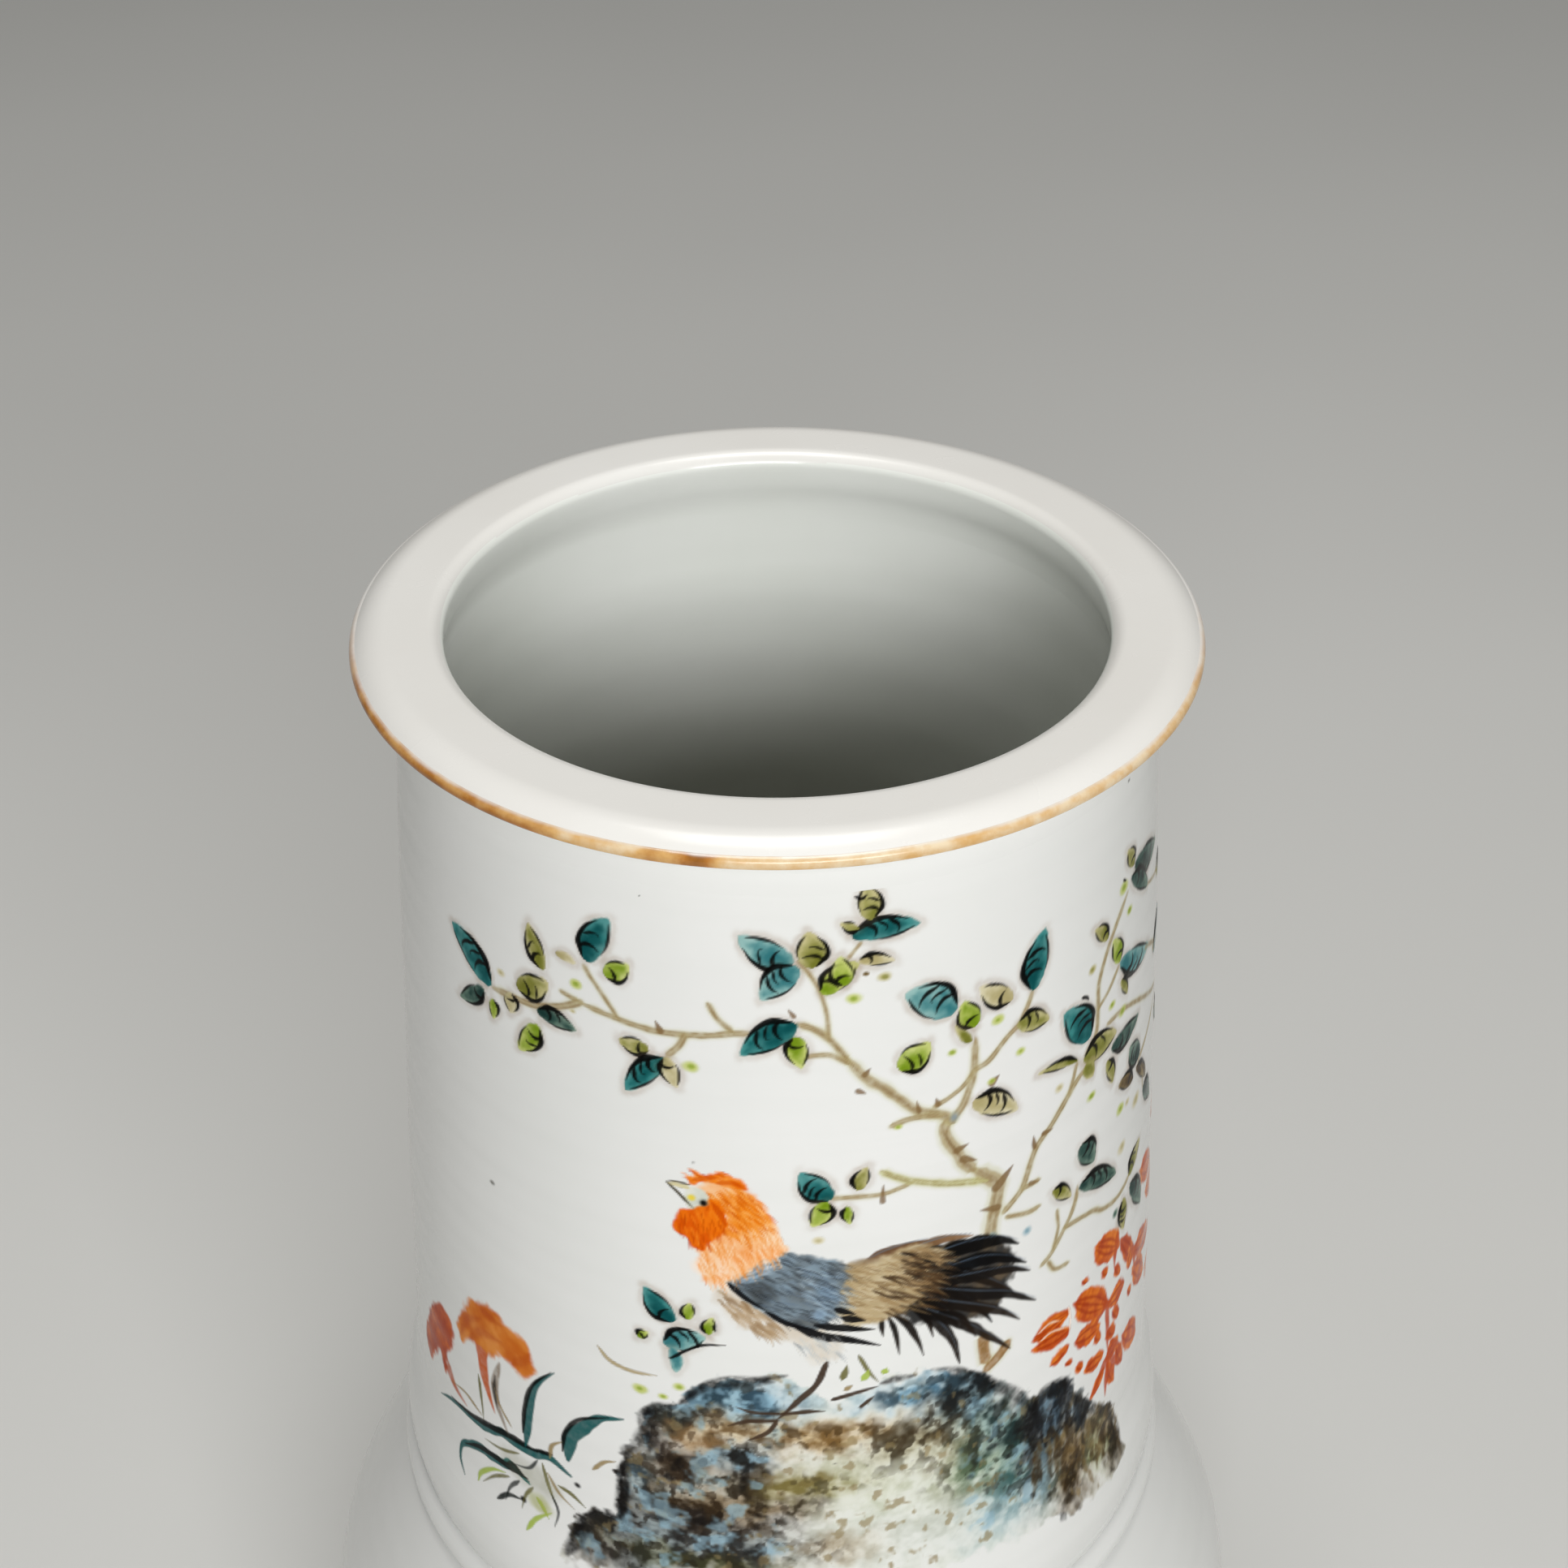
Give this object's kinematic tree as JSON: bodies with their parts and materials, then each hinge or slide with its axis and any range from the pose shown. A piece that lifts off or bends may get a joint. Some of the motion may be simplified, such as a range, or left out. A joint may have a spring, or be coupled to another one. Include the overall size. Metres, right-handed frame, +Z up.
{
  "type": "brush pot",
  "caption": "Porcelain brush pot: tall cylinder with a flat everted mouth, string rings low on the wall and a bulging drum base on a foot ring, open at the top to hold brushes.",
  "frame": {"origin": "on the table under the middle of the foot ring", "axes": "+Z up along the pot's turning axis, -Y towards the painted front"},
  "size_m": [0.1628, 0.1628, 0.24],
  "materials": {
    "porcelain_glaze": "glossy bluish-white glaze",
    "iron_brown_glaze": "glossy iron-brown glaze",
    "porcelain_foot": "glazed above, bare fired porcelain on the bearing edge",
    "overglaze_enamel": "painted overglaze enamels, satin to glossy"
  },
  "bodies": {
    "root": {"mouth_flange": "porcelain_glaze", "lip_dressing": "iron_brown_glaze", "body_cylinder": "porcelain_glaze", "ring_collar": "porcelain_glaze", "string_bead": "porcelain_glaze", "shoulder": "porcelain_glaze", "lower_belly": "porcelain_glaze", "floor_disc": "porcelain_glaze", "foot_ring": "porcelain_foot"}
  },
  "joints": []
}
